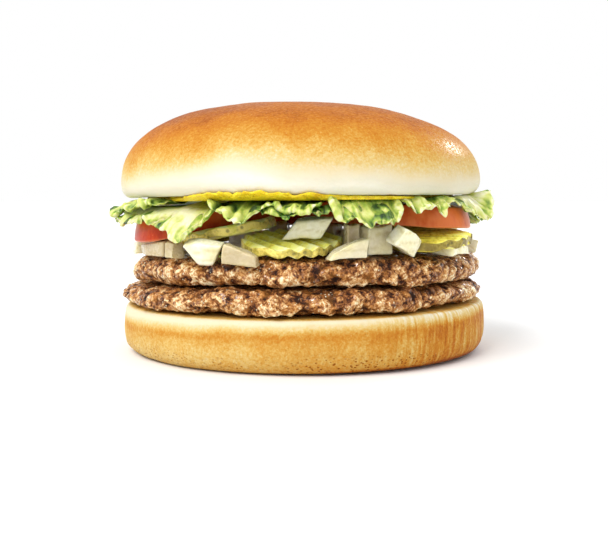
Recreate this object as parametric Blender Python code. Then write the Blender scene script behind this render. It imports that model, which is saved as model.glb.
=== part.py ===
"""Double hamburger: a plain soft bun, two griddled patties, diced onion, crinkle-cut pickle,
sliced tomato, leaf lettuce and mustard. Metres, +Z up. The origin is on the bun's axis where
the heel stands on the table. Bearings run round that axis: 0 is the front (-Y), 90 is +X.
"""

import math
import random

import bmesh
import bpy
from mathutils import Euler, Matrix, Vector, noise
from mathutils.bvhtree import BVHTree

MM = 0.001
GAP = 0.3 * MM

# Driving dimensions: a five inch bun, and the heights at which its layers meet.
BUN_RADIUS = 63.5 * MM
HEEL_SPREAD = 0.5 * MM
HEEL_TOP = 17.5 * MM
PATTY_MEET = 26.4 * MM
PATTY_TOP = 35.6 * MM
CROWN_EDGE = 54.0 * MM
CROWN_TOP = 86.2 * MM
PATTY_RADIUS = 61.6 * MM
PATTY_SAG = 2.4 * MM
CROWN_ARCH = 4.0 * MM
TOMATO_THICK = 6.8 * MM
TOMATO_RADIUS = 29.5 * MM
PICKLE_THICK = 2.5 * MM
RIDGE_PITCH = 4.4 * MM
RIDGE_DEPTH = 0.6 * MM
LEAF_THICK = 0.6 * MM
MUSTARD_THICK = 1.0 * MM


def clear_scene():
    for old in list(bpy.data.objects):
        bpy.data.objects.remove(old)


def food_material(name, colour, roughness):
    """A plain food finish: its colour and roughness, and no metal."""
    made = bpy.data.materials.new(name)
    made.use_nodes = True
    shader = made.node_tree.nodes["Principled BSDF"]
    shader.inputs["Base Color"].default_value = (*colour, 1.0)
    shader.inputs["Roughness"].default_value = roughness
    shader.inputs["Metallic"].default_value = 0.0
    made.diffuse_color = (*colour, 1.0)
    return made


def polar(bearing, reach, height=0.0):
    """The point at a bearing in degrees, a reach from the axis and a height."""
    turn = math.radians(bearing)
    return Vector((reach * math.sin(turn), -reach * math.cos(turn), height))


def smoothstep(low, high, value):
    share = min(1.0, max(0.0, (value - low) / (high - low)))
    return share * share * (3.0 - 2.0 * share)


def add_piece(name, mesh_source, material, parent, smooth_angle=50.0):
    """Turns a bmesh into a named object under the parent, with outward normals."""
    bmesh.ops.recalc_face_normals(mesh_source, faces=mesh_source.faces[:])
    mesh = bpy.data.meshes.new(name)
    mesh_source.to_mesh(mesh)
    mesh_source.free()
    mesh.shade_smooth()
    mesh.set_sharp_from_angle(angle=math.radians(smooth_angle))
    mesh.materials.append(material)
    piece = bpy.data.objects.new(name, mesh)
    bpy.context.scene.collection.objects.link(piece)
    piece.parent = parent
    return piece


def spun(profile, steps):
    """A solid of revolution from (radius, height) points that start and end on the axis."""
    made = bmesh.new()
    points = [made.verts.new((radius, 0.0, height)) for radius, height in profile]
    edges = [made.edges.new(pair) for pair in zip(points, points[1:])]
    bmesh.ops.spin(
        made,
        geom=points + edges,
        cent=(0, 0, 0),
        axis=(0, 0, 1),
        steps=steps,
        angle=2 * math.pi,
        use_merge=True,
    )
    bmesh.ops.remove_doubles(made, verts=made.verts[:], dist=0.01 * MM)
    return made


def reshape(made, rule):
    for vertex in made.verts:
        vertex.co = rule(vertex.co.copy())


def lumps(point, size, offset):
    """Smooth noise between about -1 and 1, with lumps of the given size."""
    return noise.noise(point / size + Vector((offset, 2.0 * offset, -offset)))


def side_sag(point):
    """How far the patties sink towards the sides of the stack, and more to the left."""
    return (PATTY_SAG - MM * point.x / BUN_RADIUS) * (point.x / BUN_RADIUS) ** 2


def heel_lean(point):
    """How far the heel's cut face stands above its middle, being a little higher to the right."""
    return 0.7 * MM * point.x / BUN_RADIUS


def crown_sag(point):
    """How far the crown's lower edge droops towards the sides, and more to the left."""
    return (0.7 * MM - 0.9 * MM * point.x / BUN_RADIUS) * (point.x / BUN_RADIUS) ** 2


def arch(reach):
    """How far the crown's cut face rises above its edge, where it bends over the filling."""
    return CROWN_ARCH * max(0.0, 1.0 - (reach / (0.93 * BUN_RADIUS)) ** 4)


# Bun


def make_heel(material, parent):
    """The lower bun: a flat base, nearly upright sides and a crisp cut edge."""
    radius = BUN_RADIUS + HEEL_SPREAD
    profile = [
        (0, 0),
        (radius - 5.2 * MM, 0),
        (radius - 2.2 * MM, 1.2 * MM),
        (radius - 0.4 * MM, 4.2 * MM),
        (radius, 9.0 * MM),
        (radius - 0.1 * MM, HEEL_TOP - 3.0 * MM),
        (radius - 1.0 * MM, HEEL_TOP - 0.6 * MM),
        (radius - 3.2 * MM, HEEL_TOP),
        (0, HEEL_TOP),
    ]
    steps = 60
    made = spun(profile, steps)

    def uneven(point):
        reach = point.xy.length
        if reach > MM:
            swell = 1.0 + 0.006 * lumps(point, 45 * MM, 3.1) * smoothstep(0, 3 * MM, point.z)
            point.x *= swell
            point.y *= swell
        if point.z > HEEL_TOP - 4.0 * MM:
            point.z += heel_lean(point)
        return point

    reshape(made, uneven)
    return add_piece("heel", made, material, parent)


def make_crown(material, parent):
    """The upper bun: a cut face that arches over the filling, a rolled edge and a full dome."""
    radius = BUN_RADIUS
    widest = CROWN_EDGE + 5.2 * MM
    rise = CROWN_TOP - widest
    fullness = 2.3
    profile = [(0, CROWN_EDGE + CROWN_ARCH)]
    for share in (0.5, 0.74, 0.86):
        profile.append((share * radius, CROWN_EDGE + arch(share * radius)))
    profile += [
        (radius - 4.4 * MM, CROWN_EDGE),
        (radius - 2.2 * MM, CROWN_EDGE + 0.7 * MM),
        (radius - 0.6 * MM, CROWN_EDGE + 2.6 * MM),
    ]
    rings = 9
    for k in range(rings):
        turn = 0.5 * math.pi * k / rings
        profile.append(
            (
                radius * math.cos(turn) ** (2 / fullness),
                widest + rise * math.sin(turn) ** (2 / fullness),
            )
        )
    profile.append((0, CROWN_TOP))
    steps = 60
    made = spun(profile, steps)
    apex_shift = 2.5 * MM

    def uneven(point):
        up = max(0.0, (point.z - widest) / rise)
        if point.z > widest - 4.0 * MM:
            swell = 1.0 + 0.007 * lumps(point, 50 * MM, 7.7)
            point.x *= swell
            point.y *= swell
            point.z += 0.5 * MM * lumps(point, 40 * MM, 1.7) * up
        point.x -= apex_shift * up * up
        point.z -= (1.0 - up) * crown_sag(point)
        return point

    reshape(made, uneven)
    crown = add_piece("crown", made, material, parent)
    crown.location = (-1.3 * MM, 0, 0)
    return crown


# Patties


def make_patty(name, material, parent, low, high, radius, shift, under_face, seed):
    """A griddled patty: an uneven round edge with crags, and faces that sag at the sides.

    under_face gives how far its lower face stands above its middle, at any point.
    """
    thick = high - low
    profile = [
        (0, low),
        (0.55 * radius, low),
        (radius - 4.2 * MM, low),
        (radius - 1.3 * MM, low + 0.14 * thick),
        (radius - 0.1 * MM, low + 0.40 * thick),
        (radius - 0.3 * MM, low + 0.64 * thick),
        (radius - 2.0 * MM, low + 0.88 * thick),
        (radius - 5.4 * MM, high),
        (0.55 * radius, high),
        (0, high),
    ]
    steps = 70
    made = spun(profile, steps)

    def craggy(point):
        reach = point.xy.length
        edge = smoothstep(0.86 * radius, 0.97 * radius, reach)
        if reach > MM:
            outward = point.xy.normalized()
            outline = 1.6 * lumps(point, 26 * MM, seed)
            crag = 2.3 * lumps(point, 9 * MM, seed + 5) + 1.2 * lumps(point, 5 * MM, seed + 9)
            push = MM * edge * (outline + crag)
            point.x += outward.x * push
            point.y += outward.y * push
        relief = 2.0 * MM * edge * lumps(point, 9 * MM, seed + 13)
        point.x += shift
        point.z = min(high, max(low, point.z + relief))
        share = (point.z - low) / thick
        point.z += (1.0 - share) * under_face(point) - share * side_sag(point)
        return point

    reshape(made, craggy)
    return add_piece(name, made, material, parent)


# Pieces that lie on what is under them


def world_points(piece):
    bpy.context.view_layer.update()
    return [piece.matrix_world @ vertex.co for vertex in piece.data.vertices]


def tree_of(piece):
    faces = [tuple(face.vertices) for face in piece.data.polygons]
    return BVHTree.FromPolygons(world_points(piece), faces)


def lay(piece, bearing, reach, leans):
    """Sets a piece at a bearing and reach, turned and leaned by angles in degrees.

    leans holds how far its outer side dips, how far its side at a larger bearing dips, and how
    far it is turned about the vertical before that.
    """
    outward, sideways, turn = (math.radians(lean) for lean in leans)
    placed = Matrix.Rotation(math.radians(bearing), 4, "Z")
    placed @= Matrix.Rotation(outward, 4, "X")
    placed @= Matrix.Rotation(sideways, 4, "Y")
    placed @= Matrix.Rotation(turn, 4, "Z")
    piece.location = polar(bearing, reach * MM)
    piece.rotation_euler = placed.to_euler()
    return piece


def rest_on(piece, below):
    """Lowers a piece from well above until it clears what is below by the gap."""
    up = Vector((0, 0, 1))
    lift = 100 * MM
    piece.location.z += lift
    points = world_points(piece)
    own = tree_of(piece)
    room = lift
    for other in below:
        tree = tree_of(other)
        for point in points:
            hit = tree.ray_cast(point, -up)
            if hit[0]:
                room = min(room, hit[3])
        for point in world_points(other):
            hit = own.ray_cast(point, up)
            if hit[0]:
                room = min(room, hit[3])
    piece.location.z -= room - GAP
    trees = [tree_of(other) for other in below]
    while any(tree_of(piece).overlap(tree) for tree in trees):
        piece.location.z += 0.5 * GAP
    piece.location.z += 0.5 * GAP


def nestle(piece, bearing, reach, leans, below, level):
    """Rests a piece near a bearing and a reach, slid as little as lets it lie at a level in mm."""
    slides = [(out, turn) for out in (0, 1, 2, -1, 3, 4) for turn in (0, 1, -1, 2, -2, 3, -3, 5, -5)]
    slides.sort(key=lambda slide: abs(slide[0]) + 0.8 * abs(slide[1]))
    best = None
    for out, turn in slides:
        rest_on(lay(piece, bearing + turn, reach + 0.7 * out, leans), below)
        base = min(point.z for point in world_points(piece))
        if best is None or base < best[0] - 0.1 * MM:
            best = (base, piece.location.copy(), piece.rotation_euler.copy())
        if base < level * MM:
            break
    piece.location, piece.rotation_euler = best[1:]
    below.append(piece)


def dice(name, material, parent, size, bend, cut):
    """A chunk of diced onion: a short length of two or three layers, curved as the layers are.

    bend is how far its ends drop and how far they turn inwards. cut is its length at the foot
    against that at the top, how far the top is shifted to its right, and its height at its left
    end and at its right end, all as shares.
    """
    length, width, thick = (side * MM for side in size)
    over, around = bend
    foot, shift, left, right = cut
    made = bmesh.new()
    bmesh.ops.create_cube(made, size=1.0)
    along = [e for e in made.edges if abs(e.verts[0].co.x - e.verts[1].co.x) > 0.5]
    bmesh.ops.subdivide_edges(made, edges=along, cuts=2, use_grid_fill=True)
    seed = sum(size) + over

    def curved(point):
        slant = 1.0 + 0.16 * lumps(point * 40 * MM, 14 * MM, seed)
        top = point.z + 0.5
        x = length * (point.x * (foot + (1.0 - foot) * top) * slant + shift * point.z)
        high = thick * (left + (right - left) * (point.x + 0.5)) * slant
        z = high * top - 0.5 * thick
        wide = width * (1.0 - 0.22 * (point.x + 0.5) * top)
        return Vector(
            (
                x - z * point.x * over,
                wide * point.y + length * around * point.x * point.x,
                z - 0.5 * length * over * point.x * point.x,
            )
        )

    reshape(made, curved)
    return add_piece(name, made, material, parent, smooth_angle=30.0)


def crinkle_slice(name, material, parent, radius, turn, bow, phase):
    """A pickle chip cut with a corrugated blade, so both faces carry the same ridges.

    It is laid with its ridges turned by an angle in degrees, and bow is how far its left and
    right ends then rise.
    """
    bend_x, bend_y = math.cos(math.radians(turn)), -math.sin(math.radians(turn))
    columns = 31
    made = bmesh.new()
    bmesh.ops.create_grid(made, x_segments=columns, y_segments=1, size=1.0)

    def cut(point):
        across = 0.985 * point.x
        chord = math.sqrt(1.0 - across * across)
        x = radius * across
        y = radius * chord * point.y * (1.0 + 0.02 * math.sin(9 * across + phase))
        ridge = RIDGE_DEPTH * math.sin(2 * math.pi * x / RIDGE_PITCH + phase)
        rise = bow * ((x * bend_x + y * bend_y) / radius) ** 2
        return Vector((x, y, ridge + rise - 0.5 * PICKLE_THICK))

    reshape(made, cut)
    upper = bmesh.ops.extrude_face_region(made, geom=made.faces[:])["geom"]
    raised = [part for part in upper if isinstance(part, bmesh.types.BMVert)]
    bmesh.ops.translate(made, vec=(0, 0, PICKLE_THICK), verts=raised)
    return add_piece(name, made, material, parent, smooth_angle=40.0)


def tomato_slice(name, material, parent, radius, droop, seed):
    """A tomato slice from below the fruit's middle, so that its skin slopes in towards the top.

    It droops where nothing is under it.
    """
    half = 0.5 * TOMATO_THICK
    profile = [
        (0, -half),
        (0.6 * radius, -half),
        (radius - 0.5 * MM, -half),
        (radius, -0.86 * half),
        (radius - 0.7 * MM, 0.1 * half),
        (radius - 2.4 * MM, half),
        (0.6 * radius, half),
        (0, half),
    ]
    steps = 36
    made = spun(profile, steps)

    def lobed(point):
        turn = math.atan2(point.y, point.x)
        lobe = 0.99 + 0.012 * math.cos(3 * turn + seed) + 0.008 * math.cos(5 * turn - seed)
        point.x *= lobe
        point.y *= lobe
        point.z -= droop * (point.x / radius) ** 2 + 0.4 * droop * (point.y / radius) ** 2
        return point

    reshape(made, lobed)
    return add_piece(name, made, material, parent)


# Sheets: lettuce leaves and mustard


def along_curve(points, share):
    """A smooth curve through points, read at a share of its length in points."""
    last = len(points) - 1
    place = share * last
    k = min(int(place), last - 1)
    t = place - k
    p1, p2 = Vector(points[k]), Vector(points[k + 1])
    p0 = Vector(points[k - 1]) if k > 0 else p1 * 2 - p2
    p3 = Vector(points[k + 2]) if k + 2 <= last else p2 * 2 - p1
    return 0.5 * (
        2 * p1
        + (p2 - p0) * t
        + (p0 * 2 - p1 * 5 + p2 * 4 - p3) * t * t
        + (p1 * 3 - p2 * 3 + p3 - p0) * t * t * t
    )


class Sheet:
    """A grid of points with its triangles, which can be closed into a thin solid."""

    def __init__(self, columns, rows, place):
        self.columns, self.rows = columns, rows
        self.points = [place(i / columns, j / rows) for i in range(columns + 1) for j in range(rows + 1)]
        self.faces = []
        for i in range(columns):
            for j in range(rows):
                a, b = self.at(i, j), self.at(i, j + 1)
                c, d = self.at(i + 1, j + 1), self.at(i + 1, j)
                self.faces += [(a, b, c), (a, c, d)] if (i + j) % 2 else [(a, b, d), (b, c, d)]
        edge = [self.at(i, 0) for i in range(columns)]
        edge += [self.at(columns, j) for j in range(rows)]
        edge += [self.at(i, rows) for i in range(columns, 0, -1)]
        edge += [self.at(0, j) for j in range(rows, 0, -1)]
        self.border = edge

    def at(self, i, j):
        return i * (self.rows + 1) + j

    def neighbours(self, index):
        i, j = divmod(index, self.rows + 1)
        for di, dj in ((-1, 0), (1, 0), (0, -1), (0, 1)):
            if 0 <= i + di <= self.columns and 0 <= j + dj <= self.rows:
                yield self.at(i + di, j + dj)

    def solid(self, thickness):
        """The points and triangles of the sheet with half the thickness to each side."""
        normals = [Vector() for _ in self.points]
        for face in self.faces:
            a, b, c = (self.points[k] for k in face)
            normal = (b - a).cross(c - a)
            for k in face:
                normals[k] += normal
        shift = [normal.normalized() * 0.5 * thickness for normal in normals]
        count = len(self.points)
        points = [p + s for p, s in zip(self.points, shift)]
        points += [p - s for p, s in zip(self.points, shift)]
        faces = list(self.faces)
        faces += [(c + count, b + count, a + count) for a, b, c in self.faces]
        for a, b in zip(self.border, self.border[1:] + self.border[:1]):
            faces += [(a, b, b + count), (a, b + count, a + count)]
        return points, faces

    def settle(self, below, above):
        """Eases the sheet off whatever it touches: up from what is below, down from what is above."""
        step = 0.2 * MM
        farthest = 2.6 * MM
        count = len(self.points)
        start = [point.z for point in self.points]
        moved = [0.0] * count
        for _ in range(90):
            points, faces = self.solid(LEAF_THICK + 2 * GAP)
            own = BVHTree.FromPolygons(points, faces)
            ways = [set() for _ in range(count)]
            for trees, way in ((below, 1), (above, -1)):
                for tree in trees:
                    for face, _ in own.overlap(tree):
                        for k in faces[face]:
                            ways[k % count].add(way)
            if not any(ways):
                return
            moves = [step * sum(way) for way in ways]
            for k, move in enumerate(moves):
                moved[k] = min(farthest, max(-farthest, moved[k] + move))
            for k in range(count):
                if not moves[k]:
                    near = [moved[n] for n in self.neighbours(k)]
                    moved[k] += 0.15 * (sum(near) / len(near) - moved[k])
            for k, point in enumerate(self.points):
                point.z = start[k] + moved[k]


def leaf(name, material, parent, rim, root, ruffle, below, leaves, above, seed):
    """A lettuce leaf: a thin sheet that lies over what is below and hangs out with a ruffled rim.

    rim holds (bearing, reach in mm, height in mm) along the edge that shows, root is the
    (reach, height) in mm of the edge that is held under the crown, and ruffle is the height in
    mm and the number of the waves along the rim.
    """
    depth, waves = ruffle

    def place(along, out):
        bearing, reach, height = along_curve(rim, along)
        out = out**0.8
        far = (root[0] + (reach - root[0]) * out) * MM
        hang = smoothstep(0.45, 1.3, out) / smoothstep(0.45, 1.3, 1.0)
        wave = math.sin(2 * math.pi * along * waves + seed)
        flutter = math.sin(2 * math.pi * along * waves * 2.3 + 2.0 * seed)
        swing = depth * MM * out**3
        z = (root[1] + (height - root[1]) * hang) * MM + swing * (wave + 0.45 * flutter)
        return polar(bearing, far + 0.5 * swing * math.cos(3.0 * wave + seed), z)

    sheet = Sheet(22, 4, place)
    below_trees = [tree_of(other) for other in below]
    leaf_trees = [tree_of(other) for other in leaves]
    above_trees = [tree_of(other) for other in above]
    for point in sheet.points:
        if point.xy.length < BUN_RADIUS - 2.0 * MM:
            lift_clear(point, below_trees)
        lift_clear(point, leaf_trees)
        press_clear(point, above_trees)
    sheet.settle(below_trees + leaf_trees, above_trees)
    points, faces = sheet.solid(LEAF_THICK)
    made = bmesh.new()
    corners = [made.verts.new(point) for point in points]
    for face in faces:
        made.faces.new([corners[k] for k in face])
    leaves.append(add_piece(name, made, material, parent, smooth_angle=80.0))


def lift_clear(point, trees):
    """Raises a point of a leaf above whatever lies under it."""
    for tree in trees:
        top = tree.ray_cast(Vector((point.x, point.y, 200 * MM)), Vector((0, 0, -1)))
        if top[0]:
            point.z = max(point.z, top[0].z + LEAF_THICK + GAP)


def press_clear(point, trees):
    """Lowers a point of a leaf below the crown and the mustard."""
    for tree in trees:
        base = tree.ray_cast(Vector((point.x, point.y, 0)), Vector((0, 0, 1)))
        if base[0]:
            point.z = min(point.z, base[0].z - LEAF_THICK - GAP)


def make_mustard(material, parent):
    """A spoonful of mustard pressed out to the crown's edge, thicker where it squeezes out."""
    radius = BUN_RADIUS - 2.3 * MM
    low = CROWN_EDGE - 1.6 * GAP - MUSTARD_THICK
    profile = [(0, low + CROWN_ARCH)]
    for share in (0.5, 0.76, 0.9):
        profile.append((share * radius, low + arch(share * radius)))
    profile += [
        (radius - 1.0 * MM, low - 0.2 * MM),
        (radius + 0.6 * MM, low + 0.8 * MM),
        (radius + 0.5 * MM, low + 1.8 * MM),
        (radius - 0.9 * MM, low + MUSTARD_THICK),
    ]
    for share in (0.9, 0.76, 0.5):
        profile.append((share * radius, low + MUSTARD_THICK + arch(share * radius)))
    profile.append((0, low + MUSTARD_THICK + CROWN_ARCH))
    steps = 48
    made = spun(profile, steps)
    # It reaches the crown's edge at the front only. These are the cosines of the bearings between
    # which it comes short of the edge, and how far it does, in mm.
    side, middle = 0.64, 0.88
    held_back = 6.4

    def squeezed(point):
        reach = point.xy.length
        if reach > 0.95 * radius:
            front = smoothstep(side, middle, -point.y / reach)
            short = (1.0 - front) * held_back + 1.6 * abs(lumps(point, 14 * MM, 4.4))
            shorter = 1.0 - short * MM / radius
            point.x *= shorter
            point.y *= shorter
            point.z = min(point.z, low + MUSTARD_THICK + 0.8 * MM * front)
        point.z -= crown_sag(point)
        return point

    reshape(made, squeezed)
    mustard = add_piece("mustard", made, material, parent)
    mustard.location = (-1.3 * MM, 0, 0)
    return mustard


# The filling as it lies in the burger. Each chunk and slice is laid at a bearing and a reach in
# mm, with its leans in degrees.

# (bearing, reach, leans, radius, bow in mm, ridge phase, height in mm that its base lies under)
PICKLES = [
    (-4.8, 45.4, (9.5, 0, 38), 15.8, 0.0, 1.9, 36.0),
    (-34.5, 41.4, (6.5, -8.8, -42), 15.6, 0.0, 0.4, 38.2),
    (54, 48.4, (5.4, -5.6, 30), 16.4, -0.8, 0.9, 36.5),
    (108, 43.0, (5, 2, 70), 16.5, -0.9, 2.6, 37),
    (171, 42.0, (3, -1, 160), 16.0, 0.5, 3.7, 37),
    (232, 42.5, (5, 3, 20), 16.5, -0.9, 0.2, 37),
]

SQUARE_CUT = (1.0, 0.0, 1.0, 1.0)

# (bearing, reach, leans, size in mm, bend, cut, height in mm that its base lies under). The first
# of these lie under the pickles.
UNDER_ONIONS = [
    (57, 57.5, (5, 1, 0), (14.5, 8.0, 2.6), (0.2, 0.1), SQUARE_CUT, 37),
    (4, 22.0, (0, 2, 30), (11.0, 8.0, 3.8), (0.2, 0.1), SQUARE_CUT, 37),
    (-80, 9.6, (3, 0, -10), (12.0, 8.0, 8.0), (0.2, 0.2), SQUARE_CUT, 37),
    (82, 8.0, (0, -2, 70), (10.0, 9.0, 7.4), (0.3, 0.0), SQUARE_CUT, 37),
    (-58, 24.0, (4, 0, 10), (10.0, 7.0, 5.8), (0.2, 0.1), SQUARE_CUT, 37),
    (40, 26.0, (0, 3, -30), (11.0, 8.0, 5.6), (0.3, 0.1), SQUARE_CUT, 37),
]
ONIONS = [
    (-60, 56.8, (6, 0, 0), (19.0, 5.6, 5.0), (0.1, 0.28), (1.0, 0.0, 0.62, 1.0), 35),
    (-43.4, 58.6, (2, 4, 0), (3.6, 4.8, 4.8), (0.1, 0.0), SQUARE_CUT, 35.4),
    (-29.6, 60.6, (24, 0, 8), (13.4, 4.6, 7.0), (0.1, 0.1), (0.3, 0.04, 1.0, 0.9), 40),
    (-19.0, 60.0, (4, 4, 0), (10.8, 3.8, 6.6), (0.3, 0.1), (1.0, 0.0, 1.0, 0.5), 36),
    (1.6, 50.5, (8, -4, -8), (11.6, 6.4, 6.0), (0.2, 0.1), (1.0, 0.4, 0.9, 1.0), 42),
    (13.0, 59.6, (4, -2, 4), (11.6, 4.6, 6.0), (0.2, 0.0), (1.0, 0.1, 0.4, 1.0), 38),
    (16.0, 52.8, (0, 0, 0), (4.0, 4.4, 9.2), (0.0, 0.0), SQUARE_CUT, 37),
    (23.4, 53.4, (0, 0, 8), (9.4, 5.4, 8.6), (0.1, 0.0), (0.9, 0.0, 1.0, 1.0), 37),
    (31.4, 60.0, (14, 27, 6), (9.6, 5.0, 6.2), (0.2, 0.1), (0.95, 0.08, 1.0, 0.95), 36),
]
BACK_ONION_BEARINGS = [79, 125, 137, 148, 193, 204, 217, 253, 266, 279]
RAISED_ONION_BEARINGS = [108, 232]

# (centre x and y in mm, radius share, dips towards -Y and +X in degrees, droop in mm, lobes)
TOMATOES = [
    (-33.6, -15.0, 0.88, (1.5, -11), 0.6, 0.6),
    (28.4, -14.0, 1.0, (1, 2.6), 1.0, 2.2),
    (0.0, 36.0, 0.92, (0, 0), 1.5, 4.0),
]

# (name, rim, root, ruffle) as leaf() takes them
LEAVES = [
    (
        "lettuce_left",
        [
            (-90, 62, 47.5), (-79, 66.5, 44.3), (-65, 64.5, 44), (-51, 65, 45.2),
            (-43, 65.5, 43), (-35.3, 66, 40.2), (-30.5, 65, 43), (-27, 61.5, 49.5),
        ],
        (44, 50.0),
        (1.0, 5.0),
    ),
    (
        "lettuce_far_left",
        [(-112, 62, 50.6), (-98, 66, 49), (-86, 69, 47.4), (-72, 66, 50), (-60, 64, 51), (-48, 62, 51.6)],
        (47, 51.6),
        (0.9, 4.0),
    ),
    (
        "lettuce_middle",
        [(-13, 61, 50), (-8, 63, 48.6), (-3, 64, 48.0), (2, 64, 48.6), (7, 61.5, 49.4), (11, 59, 49.8)],
        (42, 50.6),
        (0.6, 3.0),
    ),
    (
        "lettuce_front_right",
        [
            (7, 61.5, 50.8), (10, 65, 44.2), (14, 66, 46.5), (18, 66, 44.3),
            (22, 66, 46), (25, 65, 44.8), (29, 62, 50),
        ],
        (44, 52.8),
        (0.7, 4.0),
    ),
    (
        "lettuce_front",
        [
            (-28, 62, 51.8), (-22, 64, 49), (-18, 65, 46.5), (-13, 64, 49.5),
            (-7, 62, 52.5), (-2, 64, 49.5), (5, 63, 51),
        ],
        (43, 53.2),
        (1.0, 6.0),
    ),
    (
        "lettuce_right_frill",
        [(30, 62, 51), (33, 64, 48.5), (37.5, 64, 50), (42, 64.5, 48), (46.5, 64, 49.5), (51, 61, 51.5)],
        (44, 52.8),
        (0.9, 5.0),
    ),
    (
        "lettuce_right",
        [
            (52, 61, 51), (59, 63, 47), (65, 66, 42.5), (70, 67.5, 46),
            (75, 65.5, 54.5), (81, 66, 52), (90, 63, 51),
        ],
        (44, 53.0),
        (0.5, 3.0),
    ),
    (
        "lettuce_back_right",
        [(91.5, 62, 50), (101, 66, 46), (114, 65, 47), (127, 67, 43), (138, 62, 50)],
        (44, 52.5),
        (1.3, 5.0),
    ),
    (
        "lettuce_back",
        [(140, 62, 51), (151, 66, 47), (164, 64, 49), (178, 66, 45), (191, 62, 50)],
        (44, 52.8),
        (1.3, 6.0),
    ),
    (
        "lettuce_back_left",
        [(193, 62, 51), (206, 66, 46), (219, 67, 43), (230, 64, 48), (238, 66, 45), (245, 62, 50)],
        (44, 52.8),
        (1.3, 6.0),
    ),
]


def main():
    clear_scene()
    burger = bpy.data.objects.new("burger", None)
    bpy.context.scene.collection.objects.link(burger)
    bread = food_material("bread", (0.80, 0.50, 0.20), 0.55)
    beef = food_material("beef", (0.22, 0.11, 0.06), 0.5)
    onion = food_material("onion", (0.88, 0.86, 0.72), 0.3)
    pickle = food_material("pickle", (0.42, 0.42, 0.08), 0.3)
    tomato = food_material("tomato", (0.62, 0.10, 0.04), 0.25)
    lettuce = food_material("lettuce", (0.45, 0.62, 0.12), 0.4)
    sauce = food_material("mustard", (0.90, 0.68, 0.04), 0.35)

    make_heel(bread, burger)
    lower_radius = PATTY_RADIUS + 1.2 * MM
    upper_radius = PATTY_RADIUS - 1.0 * MM
    lower_base = HEEL_TOP + GAP
    make_patty(
        "patty_lower", beef, burger, lower_base, PATTY_MEET - GAP, lower_radius, -1.1 * MM, heel_lean, 2.3
    )
    top_patty = make_patty(
        "patty_upper", beef, burger, PATTY_MEET, PATTY_TOP, upper_radius, 0.9 * MM,
        lambda point: -side_sag(point), 6.1,
    )

    filling = [top_patty]
    for k, (bearing, reach, leans, size, bend, cut, level) in enumerate(UNDER_ONIONS, 1):
        piece = dice(f"onion_under_{k}", onion, burger, size, bend, cut)
        nestle(piece, bearing, reach, leans, filling, level)
    for k, (bearing, reach, leans, radius, bow, phase, level) in enumerate(PICKLES, 1):
        piece = crinkle_slice(f"pickle_{k}", pickle, burger, radius * MM, leans[2], bow * MM, phase)
        nestle(piece, bearing, reach, leans, filling, level)
    for k, (bearing, reach, leans, size, bend, cut, level) in enumerate(ONIONS, 1):
        piece = dice(f"onion_{k:02d}", onion, burger, size, bend, cut)
        nestle(piece, bearing, reach, leans, filling, level)
    draw = random.Random(5)
    places = [(bearing, 36) for bearing in BACK_ONION_BEARINGS]
    places += [(bearing, 42) for bearing in RAISED_ONION_BEARINGS]
    for k, (bearing, level) in enumerate(places, len(ONIONS) + 1):
        size = (draw.uniform(8, 11), draw.uniform(6, 7.5), draw.uniform(3.8, 4.6))
        leans = (draw.uniform(0, 7), draw.uniform(-5, 5), draw.uniform(-25, 25))
        cut = (draw.uniform(0.6, 1), draw.uniform(-0.2, 0.2), draw.uniform(0.6, 1), 1.0)
        piece = dice(f"onion_{k:02d}", onion, burger, size, (draw.uniform(0, 0.4), 0.1), cut)
        nestle(piece, bearing, draw.uniform(55, 57), leans, filling, level)

    for k, (x, y, share, (front_dip, right_dip), droop, lobes) in enumerate(TOMATOES, 1):
        piece = tomato_slice(f"tomato_{k}", tomato, burger, share * TOMATO_RADIUS, droop * MM, lobes)
        piece.location = (x * MM, y * MM, 0)
        piece.rotation_euler = Euler((math.radians(front_dip), math.radians(right_dip), 0), "XYZ")
        rest_on(piece, filling)
        filling.append(piece)

    above = [make_mustard(sauce, burger), make_crown(bread, burger)]
    leaves = []
    for k, (name, rim, root, ruffle) in enumerate(LEAVES, 1):
        leaf(name, lettuce, burger, rim, root, ruffle, filling, leaves, above, 1.7 * k)


main()
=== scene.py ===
"""A double hamburger on a pale table: how the bun, beef, onion, pickle, tomato, lettuce and
mustard look. Metres, +Z up, with the bun's axis at the origin and the front towards -Y.
"""

import math

import bmesh
import bpy
import numpy as np
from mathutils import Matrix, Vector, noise
from mathutils.kdtree import KDTree


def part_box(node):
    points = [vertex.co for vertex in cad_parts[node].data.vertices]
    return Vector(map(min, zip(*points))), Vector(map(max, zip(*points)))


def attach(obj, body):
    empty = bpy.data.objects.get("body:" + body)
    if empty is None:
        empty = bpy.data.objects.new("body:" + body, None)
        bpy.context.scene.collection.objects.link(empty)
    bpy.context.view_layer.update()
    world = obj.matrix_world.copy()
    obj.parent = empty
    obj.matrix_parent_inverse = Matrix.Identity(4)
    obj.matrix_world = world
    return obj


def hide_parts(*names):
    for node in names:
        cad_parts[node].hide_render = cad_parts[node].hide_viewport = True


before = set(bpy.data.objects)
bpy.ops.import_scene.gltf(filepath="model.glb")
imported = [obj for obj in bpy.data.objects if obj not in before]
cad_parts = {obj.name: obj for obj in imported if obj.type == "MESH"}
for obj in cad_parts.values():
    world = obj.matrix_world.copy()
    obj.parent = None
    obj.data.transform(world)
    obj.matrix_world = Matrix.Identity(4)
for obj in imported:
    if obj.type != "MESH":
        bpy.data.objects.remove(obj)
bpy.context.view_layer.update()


# Heel. The lower half of a soft milk bun, baked in a round tin: a pale crumb-soft rim where it was
# cut, a golden side that has taken colour against the tin, and a flat base with fine pores.

MM = 0.001
HEEL_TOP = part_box("heel")[1].z
BUN_RADIUS = 0.5 * (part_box("heel")[1].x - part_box("heel")[0].x)

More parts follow.
